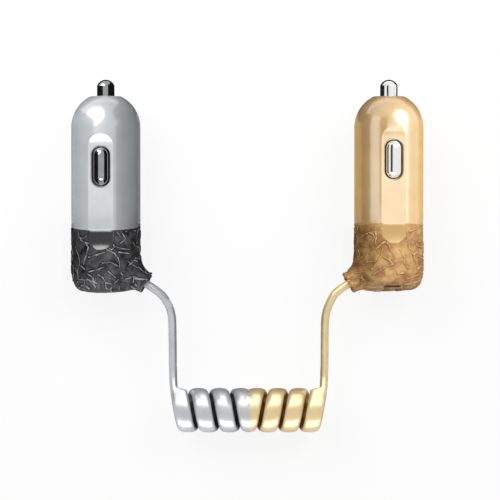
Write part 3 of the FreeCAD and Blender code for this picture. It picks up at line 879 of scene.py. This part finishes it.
def coverShape():
    # points and faces in the plug's axes, how near a ridge and how smooth each point is, and which points lie
    # deep in the notch, where shade is painted
    spacing = cover["voxel"]
    low, high = cover["box"]
    axes = [np.arange(a, b, spacing, dtype=np.float32) for a, b in zip(low, high)]
    x, y, z = np.meshgrid(*axes, indexing="ij")
    body, level, bore = outerField(x, y, z)
    near = nearRidges(axes, ridgeLines())
    steep = (cover["ridgeReach"] / cover["ridgeWidth"]) ** 2
    raised = np.clip(1 - (1 - near) * steep, 0, 1)
    body = body - cover["ridgeHeight"] * raised + np.abs(softDents(x, y, z))
    r = np.hypot(x, y)
    hollow, spigot, port, channel = cover["hollow"], cover["spigot"], cover["port"], cover["channel"]
    cup = cupField(r, level, hollow["radius"], hollow["corner"], hollow["floor"], cover["crown"])
    throat = within(r - spigot["bore"], hollow["top"] - 1 - level)
    inner = np.minimum(within(cup, level - hollow["top"]), throat)
    plug = within(r - spigot["radius"], slab(y, 0, spigot["flat"]), spigot["low"] - z, z - spigot["high"])
    body = np.minimum(within(body, level - cover["seam"]), plug)
    body = within(body, -inner, -bore)
    slots = ((port["half"], -9, port["mouth"] + 1), (port["canHalf"], port["mouth"], port["top"]))
    for half, bottom, top in slots:
        slot = within(slab(x, port["x"], half[0]), slab(y, 0, half[1]), bottom - z, z - top)
        body = within(body, -slot)
    scoops = ((-1, channel["frontFrom"]), (1, channel["backFrom"]))
    for facing, start in scoops:
        body = within(body, channelField(y, z, facing, start))
    notch = cover["notch"]
    body = within(body, -within(notchField(x, z), notch["from"] - y))
    grid = openvdb.FloatGrid()
    reach = 3 * spacing
    grid.background = reach
    grid.copyFromArray(np.clip(body, -reach, reach).astype(np.float32))
    points, triangles, quads = grid.convertToPolygons(isovalue=0.0, adaptivity=cover["adaptivity"])
    crackle = gridAt(near, points)
    points = points * spacing + np.array(low)
    x, y, z = points.T
    smooth = np.zeros(len(points))
    for facing, start in scoops:
        off = np.abs(channelField(y, z, facing, start))
        smooth = np.maximum(smooth, np.clip(1.5 - off / cover["smoothReach"], 0, 1))
    # points deep in the notch get a near-black colour: painted shade
    hidden = (notchField(x, z) < notch["darkReach"]) & (y > notch["darkFrom"])
    hidden = hidden & (outerField(x, y, z)[0] < -notch["darkDepth"])
    layers = {"crackle": crackle, "smooth": smooth, "hidden": hidden}
    return points, flipped(quads.tolist() + triangles.tolist()), layers


# the notch colours are shade painted deep in the notch
# the ridge colours are a paler worn tone and a painted highlight together
# the side colours are shade painted beside the ridges
coverLook = {
    "silver": {"deep": (6, 6, 8), "pale": (84, 84, 86), "ridge": (138, 138, 140), "side": (8, 8, 9),
               "ridgeShadeShare": 0.85, "smooth": (32, 32, 34), "hidden": (4, 4, 4), "roughness": 0.4,
               "specular": 0.12, "metallic": 0.0, "coat": 0.8, "cells": 0.4, "crease": 0.8},
    "gold": {"deep": (160, 106, 60), "pale": (218, 174, 114), "ridge": (228, 184, 124), "side": (104, 66, 36),
             "ridgeShadeShare": 0.45, "smooth": (200, 162, 98), "hidden": (20, 12, 8), "roughness": 0.36,
             "specular": 0.4, "metallic": 0.1, "coat": 0.3, "cells": 0.15, "crease": 0.4},
}
crumple = {"cell": 330.0, "swirl": 0.0022, "crease": 0.1, "bump": 0.12 * mm}


def makeCoverMaterial(finish):
    look = lookOf(coverLook, finish)
    shader = Shader(finish + "Cover")
    crackle, smooth, hidden = [
        shader.node("ShaderNodeAttribute", {"attribute_name": name}, out="Fac")
        for name in ("crackle", "smooth", "hidden")
    ]
    swirl = {0: shader.noise(220.0, out="Color"), "Scale": crumple["swirl"]}
    swirl = shader.node("ShaderNodeVectorMath", {"operation": "SCALE"}, swirl)
    place = shader.node("ShaderNodeVectorMath", {"operation": "ADD"}, {0: shader.coords(), 1: swirl})
    cells = {"Vector": place, "Scale": crumple["cell"]}
    tone = shader.node("ShaderNodeTexVoronoi", {"feature": "F1"}, cells, out="Color")
    edge = shader.node("ShaderNodeTexVoronoi", {"feature": "DISTANCE_TO_EDGE"}, cells, out="Distance")
    patch = shader.noise(330.0, 3.0).above(0.3, 0.7)
    share = shader.split(tone)[0] * look["cells"] + patch * (1 - look["cells"])
    fade = shader.noise(420.0, 1.0).above(0.32, 0.62) * 0.75 + 0.25
    layers = (
        # shade painted on the sides of each ridge
        (crackle.above(0.05, 0.55) * look["ridgeShadeShare"], "side"),
        # a paler tone on the ridge tops, partly wear and partly a painted highlight
        (crackle.above(0.72, 0.95) * fade, "ridge"),
        (smooth.above(0.3, 0.8), "smooth"),
        # shade painted deep in the notch
        (hidden, "hidden"),
    )
    colour = shader.mix(share, look["deep"], look["pale"])
    for factor, name in layers:
        colour = shader.mix(factor, colour, look[name])
    grain = shader.noise(2600.0, 4.0)
    crease = edge.above(0.0, crumple["crease"]) * (1 - smooth)
    folded = shader.bump(crease, look["crease"], crumple["bump"])
    return shader.surface({
        "Base Color": colour,
        "Metallic": look["metallic"],
        "Specular IOR Level": look["specular"],
        "Roughness": look["roughness"] + (grain - 0.5) * 0.2,
        "Coat Weight": smooth * look["coat"] * (1 - hidden),
        "Coat Roughness": 0.16,
        "Coat IOR": 2.0,
        "Normal": shader.bump(grain * (1 - smooth), 0.35, 0.05 * mm, folded),
    })


def makeCovers():
    points, faces, layers = coverShape()
    print("cover faces", len(faces))
    for finish in finishes:
        mesh, material = (points.tolist(), faces), makeCoverMaterial(finish)
        thing = makePiece(finish + "_crackle_cover", mesh, finish, None,
                          "casing", material, finish + "_base_cover")
        for name, values in layers.items():
            layer = thing.data.attributes.new(name, "FLOAT", "POINT")
            layer.data.foreach_set("value", values.astype(np.float32))


# The sprung contacts

sharpDeg = 35  # edges that are sharper stay sharp in the shading
contact = {
    "pinRadius": 2.6,
    "pinTop": 63.2,
    "pinCapHeight": 1.75,
    "pinEdgeRound": 0.8,
    "pinFlange": (3.7, 55.5, 56.5),  # radius, bottom, top
    "pinPost": (1.7, 52.0),  # radius, bottom
    "sideRadius": 2.52,
    "sideStraight": 3.35,  # half of the straight part
    "sideHeight": 38.3,
    "sideCrest": 10.9,
    "sideFlange": (3.15, 7.91, 7.21),  # radius, outer face, inner face
    "sideTip": 0.02,
    "flangeEdge": 0.15,
    "slantShift": 1.046,
    "around": 96,
    "arcSteps": 14,
}


def placedPart(points, side):
    # drawn on the front; the back is turned round, and both follow the slant
    moved = []
    for x, y, z in points:
        turned = (-x, -y) if side == "back" else (x, y)
        moved.append((*turned, z + contact["slantShift"] * (1 if side == "back" else -1)))
    return moved


def obroundRing(radius, y, height):
    # a ring with half-round ends, long along z
    half, ring = contact["sideStraight"], []
    count = contact["around"]
    for k in range(count):
        turn = math.tau * (k + 0.5) / count
        end = half if math.sin(turn) > 0 else -half
        ring.append((radius * math.cos(turn), -y, height + end + radius * math.sin(turn)))
    return ring


def makeSideContact(finish, side, chromeMetal):
    radius, steps, edge = contact["sideRadius"], contact["arcSteps"], contact["flangeEdge"]
    middle = contact["sideCrest"] - radius
    flangeRadius, outer, inner = contact["sideFlange"]
    levels = []
    for k in range(steps + 1):
        lean = math.pi / 2 * k / steps
        levels.append((max(radius * math.sin(lean), contact["sideTip"]), middle + radius * math.cos(lean)))
    levels += [(radius, outer), (flangeRadius - edge, outer), (flangeRadius, outer - edge)]
    levels += [(flangeRadius, inner + edge), (flangeRadius - edge, inner)]
    points, faces = loft([obroundRing(around, y, contact["sideHeight"]) for around, y in levels])
    name, mesh = f"{finish}_{side}_contact", (placedPart(points, side), flipped(faces))
    makePiece(name + "_bar", mesh, finish, sharpDeg, name + "_body", chromeMetal, name)


def pinProfile():
    # from the crown down to the end of the post
    radius, top, rounding = contact["pinRadius"], contact["pinTop"], contact["pinEdgeRound"]
    cap = (radius ** 2 + contact["pinCapHeight"] ** 2) / (2 * contact["pinCapHeight"])
    roundX = radius - rounding
    rise = math.sqrt((cap - rounding) ** 2 - roundX ** 2)
    lean = math.atan2(roundX, rise)
    profile = []
    steps = contact["arcSteps"]
    for k in range(steps + 1):
        angle = lean * k / steps
        profile.append((cap * math.sin(angle), top - cap + cap * math.cos(angle)))
    for k in range(1, steps + 1):
        angle = lean + (math.pi / 2 - lean) * k / steps
        profile.append((roundX + rounding * math.sin(angle), top - cap + rise + rounding * math.cos(angle)))
    flangeRadius, flangeLow, flangeHigh = contact["pinFlange"]
    postRadius, postLow = contact["pinPost"]
    profile += [(radius, flangeHigh), (flangeRadius, flangeHigh), (flangeRadius, flangeLow)]
    profile += [(postRadius, flangeLow), (postRadius, postLow), (0.0, postLow)]
    return profile


def makeCentreContact(finish, chromeMetal):
    points, faces = lathe(pinProfile(), contact["around"])
    name = finish + "_centre_contact"
    mesh = points, flipped(faces)
    makePiece(name + "_pin", mesh, finish, sharpDeg, name + "_body", chromeMetal, name)


# The springs behind them

spring = {
    "wire": 0.25,
    "meanRadius": 2.3,
    "turns": 5.0,
    "restTurns": 0.75,  # closed turns at each end
    "restPitch": 2.1,  # in radii of the wire
    "low": 49.3,
    "high": 55.4,
    "travel": 2.5,
    "leafFoot": 4.7,
    "leafCrown": 7.11,
    "leafThickness": 0.25,
    "leafWidth": 3.6,
    "leafHalf": 5.5,
    "leafTaper": 0.25,
    "leafTravel": 1.2,
    "steps": 48,
    "section": 12,
}


def makeCentreSpring(finish, steel):
    wire, section, steps = spring["wire"], spring["section"], spring["steps"]
    low, high = spring["low"] + wire, spring["high"] - wire
    rest, turns = spring["restTurns"], spring["turns"]
    closed = spring["restPitch"] * wire
    pitch = (high - low - 2 * rest * closed) / turns
    rings = []
    for k in range(int(steps * (turns + 2 * rest)) + 1):
        turn = k / steps
        spaced = min(max(turn - rest, 0), turns)
        height = low + closed * (turn - spaced) + pitch * spaced
        angle, ring = math.tau * turn, []
        for i in range(section):
            about = math.tau * i / section
            r = spring["meanRadius"] + wire * math.cos(about)
            ring.append((r * math.cos(angle), r * math.sin(angle), height + wire * math.sin(about)))
        rings.append(ring)
    points, faces = loft(rings)
    thing = makePiece(finish + "_coil_spring", (points, flipped(faces)), finish, None,
                      "casing", steel, finish + "_centre_spring")
    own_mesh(thing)


def makeLeafSpring(finish, side, steel):
    foot, crown, thick = spring["leafFoot"], spring["leafCrown"], spring["leafThickness"]
    half, wide, count = spring["leafHalf"], spring["leafWidth"] / 2, spring["steps"]
    rings = []
    for k in range(count + 1):
        along = 2 * k / count - 1
        bow = (crown - foot - thick) * (1 - along ** 2)
        z = contact["sideHeight"] + half * along
        narrow = wide * (1 - spring["leafTaper"] * abs(along) ** 3)
        inner, outer = -(foot + bow), -(foot + bow + thick)
        rings.append([(-narrow, inner, z), (narrow, inner, z), (narrow, outer, z), (-narrow, outer, z)])
    points, faces = loft(rings)
    thing = makePiece(f"{finish}_{side}_leaf", (placedPart(points, side), faces), finish, sharpDeg,
                      "casing", steel, f"{finish}_{side}_spring")
    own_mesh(thing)


def makeContacts():
    steel = makePlain("springSteel", (150, 152, 156), (178, 180, 184), 0.3, 1.0)
    for finish in finishes:
        chromeMetal = makeChrome(finish)
        makeCentreContact(finish, chromeMetal)
        makeCentreSpring(finish, steel)
        for side in ("front", "back"):
            makeSideContact(finish, side, chromeMetal)
            makeLeafSpring(finish, side, steel)


# Finishes of the pieces that stay as they are in the frame

# the lip colours are a painted highlight, a paler band along the seam
bodyLook = {
    "silver": {"deep": (168, 172, 174), "pale": (175, 179, 181), "lip": (200, 202, 204)},
    "gold": {"deep": (202, 164, 103), "pale": (212, 175, 114), "lip": (222, 184, 120)},
    "both": {"metallic": 0.1, "roughness": 0.4, "coat": 1.0, "lipHighlightHeight": 0.4},
}
# the near-black tone painted on the window walls is shade
windowShade = {"radius": 2.77, "depth": 9.5, "tone": (0.004, 0.004, 0.004)}


def makeBodyMetal(finish):
    look = lookOf(bodyLook, finish)
    shader = Shader(finish + "Body")
    colour = shader.mix(shader.noise(120.0).above(0.3, 0.7), look["deep"], look["pale"])
    across, depth, height = shader.split(shader.plugCoords(finish))
    level = height - depth * math.tan(math.radians(cover["slantDeg"]))
    # a paler band just above the seam: a painted highlight along the lower edge of the shell
    colour = shader.mix(level < cover["seam"] + look["lipHighlightHeight"], colour, look["lip"])
    # the walls of both windows are painted near black: shade painted in the gaps around the side contacts
    back = depth > 0
    middle = contact["sideHeight"] + contact["slantShift"] * (back * 2 - 1)
    beyond = (abs(height - middle) - contact["sideStraight"]).maximum(0)
    near = (across ** 2 + beyond ** 2) < windowShade["radius"] ** 2
    inside = near * (abs(depth) < windowShade["depth"])
    return shader.surface({
        "Base Color": shader.mix(inside, colour, windowShade["tone"]),
        "Metallic": look["metallic"],
        "Roughness": look["roughness"] + shader.noise(700.0, 3.0) * 0.06,
        "Coat Weight": look["coat"] * (1 - inside),
        "Coat Roughness": 0.2,
        "Coat IOR": 2.3,
        "Normal": shader.bump(shader.noise(9000.0), 0.05, 0.01 * mm),
    })


def makePlain(name, deep, pale, roughness, metallic=0.0):
    # moulded plastic, sheet metal or rubber with a mottled tone and a fine grain
    shader = Shader(name)
    mottle = shader.noise(600.0, 3.0).above(0.3, 0.7)
    grain = shader.noise(3600.0, 3.0)
    return shader.surface({
        "Base Color": shader.mix(mottle, fromSrgb(*deep), fromSrgb(*pale)),
        "Metallic": metallic,
        "Roughness": roughness + (grain - 0.5) * 0.12,
        "Normal": shader.bump(grain, 0.2, 0.02 * mm),
    })


# the same chrome on both plugs; the silver plug's copy has a darker base colour, painted shade standing in
# for its darker surroundings in reflection
chrome = {
    "silver": {"deep": (150, 151, 152), "pale": (176, 177, 178)},
    "gold": {"deep": (246, 246, 244), "pale": (252, 252, 250)},
    "both": {"roughness": 0.06},
}


def makeChrome(finish):
    look = lookOf(chrome, finish)
    shader = Shader(finish + "Chrome")
    colour = shader.mix(shader.noise(400.0), look["deep"], look["pale"])
    rough = look["roughness"] + shader.noise(2500.0, 3.0) * 0.05
    return shader.surface({"Base Color": colour, "Metallic": 1.0, "Roughness": rough})


def setMaterial(node, material):
    slots = nodes[node].material_slots
    if not slots:
        nodes[node].data.materials.append(material)
        return
    for slot in slots:
        slot.link = "OBJECT"
        slot.material = material


plainLook = {
    # material, its deeper and paler tone, roughness and metallic
    "centre_terminal": ("terminalBrass", (196, 160, 92), (220, 186, 120), 0.3, 1.0),
    "inner_frame": ("framePlastic", (206, 203, 192), (226, 224, 214), 0.5),
    "circuit_board": ("boardMask", (14, 66, 34), (22, 86, 46), 0.35),
    "control_chip": ("chipPlastic", (22, 22, 24), (34, 34, 36), 0.5),
    "inductor": ("inductorFerrite", (58, 54, 52), (74, 70, 68), 0.6),
    "capacitor": ("capacitorCan", (176, 178, 182), (200, 202, 206), 0.28, 1.0),
    "fuse": ("fuseCeramic", (196, 192, 180), (216, 212, 202), 0.45),
    "usb_shell": ("usbSteel", (160, 162, 166), (184, 186, 190), 0.3, 1.0),
    "usb_tongue": ("usbInsulator", (206, 206, 200), (226, 226, 222), 0.45),
    "usb_contacts": ("usbGilt", (206, 166, 84), (228, 190, 110), 0.25, 1.0),
}
grommetLook = {
    "silver": ("silverGrommet", (30, 30, 32), (44, 44, 46), 0.6),
    "gold": ("goldGrommet", (120, 84, 50), (146, 104, 66), 0.6),
}


def dressNodes():
    plain = {part: makePlain(*look) for part, look in plainLook.items()}
    for finish in finishes:
        setMaterial(finish + "_nose_shell", makeBodyMetal(finish))
        setMaterial(finish + "_cord_grommet", makePlain(*grommetLook[finish]))
        for part, material in plain.items():
            setMaterial(finish + "_" + part, material)


# Floor and light

silverPlug, goldPlug, coil = (-0.042, 0.0, 0.01), (0.042, 0.0, 0.01), (0.0, -0.066, 0.01)
studio = {
    "floorColour": (250, 250, 250),
    "floorReach": 2.0,
    "shadowShare": 0.12,
    "worldDiffuse": 0.26,
    "worldSeen": 0.86,
    "lights": (
        # name, place, aimed at, width, height, brightness, and the starts of the names that it lights
        ("leftTop", (-0.275, 0.26, 0.275), silverPlug, 0.50, 0.50, 3.7, ("gold", "curly", "silver_crackle")),
        ("coverTop", (0.08, -0.12, 0.42), silverPlug, 0.24, 0.24, 4.0, ("silver_crackle",)),
        ("rightTop", (0.30, 0.23, 0.28), goldPlug, 0.38, 0.38, 3.8, ("silver", "curly")),
        ("leftFill", (-0.30, 0.09, 0.28), goldPlug, 0.42, 0.42, 0.85, ("gold_nose",)),
        ("scoops", (-0.042, -0.215, 0.40), silverPlug, 0.34, 0.26, 4.2,
         ("silver_nose", "silver_front_contact")),
        ("coverFill", (0.0, -0.258, 0.369), (0.0, 0.0, 0.01), 0.4, 0.2, 2.0, ("silver_crackle", "gold")),
        ("sheen", (0.15, 0.0, 0.447), goldPlug, 0.15, 0.40, 1.15, ("gold_nose",)),
        ("strip", (0.37, 0.0, 0.24), goldPlug, 0.6, 0.085, 4.5, ("gold_nose",)),
        ("coilFront", (0.0, -0.432, 0.108), coil, 0.5, 0.24, 3.0, ("curly",)),
        ("coilBack", (0.0, 0.20, 0.24), coil, 0.5, 0.26, 2.4, ("curly",)),
        ("coilTop", (0.0, 0.38, 0.09), coil, 0.5, 0.12, 2.6, ("curly",)),
        ("back", (0.0, 0.36, 0.26), (0.0, -0.02, 0.01), 0.5, 0.14, 4.6, ("silver_crackle", "gold_crackle")),
        ("scoopEnd", (-0.135, 0.22, 0.39), (-0.042, -0.018, 0.02), 0.10, 0.15, 4.8, ("silver_crackle",)),
        ("foot", (-0.03, -0.34, 0.22), (-0.042, -0.03, 0.01), 0.2, 0.2, 13.0, ("silver_crackle",)),
        ("glint", (0.27, 0.13, 0.40), silverPlug, 0.07, 0.07, 6.0, ("silver_nose",)),
    ),
    "skipping": ("leftTop", "rightTop"),  # these light all but what they name
    "cards": (
        # sheets beside, under and over the plugs that glow dimly in their own dark or tinted colour and are
        # seen only in gloss, as corner and size in millimetres, and colour
        ((-72.0, -33.0, 0.3), (0.0, 71.0, 56.0), (0.02, 0.02, 0.02)),
        ((-22.0, -33.0, 0.3), (0.0, 93.0, 44.0), (0.02, 0.02, 0.02)),
        ((-72.0, 24.0, 0.3), (150.0, 36.0, 0.0), (0.02, 0.02, 0.02)),
        ((-72.0, -10.5, 0.3), (50.0, 34.0, 0.0), (0.26, 0.27, 0.28)),
        ((-21.8, -10.5, 0.3), (110.0, 34.0, 0.0), (0.70, 0.46, 0.17)),
        ((-80.0, -40.0, 0.3), (58.0, 29.0, 0.0), (0.01, 0.01, 0.01)),
        ((8.0, -40.0, 0.3), (80.0, 29.0, 0.0), (0.08, 0.05, 0.03)),
        ((-20.0, -60.0, 0.3), (40.0, 27.0, 0.0), (0.03, 0.03, 0.03)),
        ((0.4, -58.5, 0.3), (0.0, 26.0, 24.0), (0.03, 0.03, 0.03)),
        ((23.0, -6.0, 45.0), (15.0, 44.0, 0.0), (0.05, 0.05, 0.05)),
        ((-64.0, -28.0, 40.0), (30.0, 18.0, 0.0), (0.3, 0.3, 0.3)),
    ),
    "flags": (
        # the same beside the covers, where they also dim the diffuse light
        ((-56.0, -34.0, 0.3), (0.0, 23.0, 30.0), (0.01, 0.01, 0.01)),
        ((-28.5, -25.0, 0.3), (0.0, 14.0, 30.0), (0.01, 0.01, 0.01)),
        ((28.5, -25.0, 0.3), (0.0, 14.0, 30.0), (0.05, 0.03, 0.02)),
    ),
}


def makeSheet(name, corners, material):
    sheet = meshObject(name, corners, [(0, 1, 2, 3)])
    sheet.data.materials.append(material)
    return sheet


def makeFloor():
    shader = Shader("paleFloor")
    tone = fromSrgb(*studio["floorColour"])
    colour = shader.mix(shader.noise(30.0, 3.0), tone, [c * 0.99 for c in tone])
    plain = shader.node("ShaderNodeBsdfDiffuse", None, {"Color": colour})
    share = shader.ray("Camera") * (1 - studio["shadowShare"])
    both = {0: share, 1: plain, 2: shader.glow((1, 1, 1, 1))}
    material = shader.ending(shader.node("ShaderNodeMixShader", None, both))
    reach = studio["floorReach"]
    corners = [(-reach, -reach, 0), (reach, -reach, 0), (reach, reach, 0), (-reach, reach, 0)]
    makeSheet("floor", corners, material)


def makeCards():
    # the camera does not see them
    for kind, dims in (("cards", False), ("flags", True)):
        for index, (corner, size, tone) in enumerate(studio[kind]):
            start = Vector(corner) * mm
            one, other = [axis * span * mm for axis, span in zip(Matrix.Identity(3), size) if span]
            shader = Shader(f"{kind}{index}")
            colour = shader.mix(shader.noise(20.0), [c * 0.9 for c in tone], tone)
            corners = [start, start + one, start + one + other, start + other]
            card = makeSheet(f"{kind}{index}", corners, shader.ending(shader.glow(colour)))
            card.visible_camera = False
            card.visible_diffuse = dims
            card.visible_shadow = False
            card.visible_transmission = False


def linkLamp(lamp, state, starts):
    group = bpy.data.collections.new(lamp.name + "Link")
    for thing in bpy.context.scene.objects:
        if thing.type == "MESH" and thing.name.startswith(starts):
            group.objects.link(thing)
    for row in group.collection_objects:
        row.light_linking.link_state = state
    lamp.light_linking.receiver_collection = group


def makeLights():
    for name, place, aim, width, height, brightness, starts in studio["lights"]:
        data = bpy.data.lights.new(name, "AREA")
        data.shape = "ELLIPSE" if width == height else "RECTANGLE"
        data.size = width
        data.size_y = height
        share = math.pi / 4 if width == height else 1
        data.energy = brightness * math.pi * width * height * share  # watts
        lamp = bpy.data.objects.new(name, data)
        lamp.location = place
        lamp.rotation_euler = (Vector(aim) - Vector(place)).to_track_quat("-Z", "Y").to_euler()
        lamp.visible_camera = False
        bpy.context.scene.collection.objects.link(lamp)
        linkLamp(lamp, "EXCLUDE" if name in studio["skipping"] else "INCLUDE", starts)


def makeWorld():
    # brighter where it is seen, in gloss too, than where it only lights
    shader = Shader("studio", bpy.data.worlds.new("studio"))
    seen = shader.ray("Camera").maximum(shader.ray("Glossy")).maximum(shader.ray("Transmission"))
    levels = {"Value": seen, "To Min": studio["worldDiffuse"], "To Max": studio["worldSeen"]}
    strength = shader.node("ShaderNodeMapRange", None, levels)
    sky = shader.node("ShaderNodeBackground", None, {"Color": (1, 1, 1, 1), "Strength": strength})
    shader.node("ShaderNodeOutputWorld", None, {"Surface": sky})
    bpy.context.scene.world = shader.owner


makeCord()
print("cord made")
makeCovers()
print("covers made")
makeContacts()
print("contacts and springs made")
dressNodes()
print("finishes made")

makeFloor()
makeCards()
makeLights()
makeWorld()
print("floor and lights made")
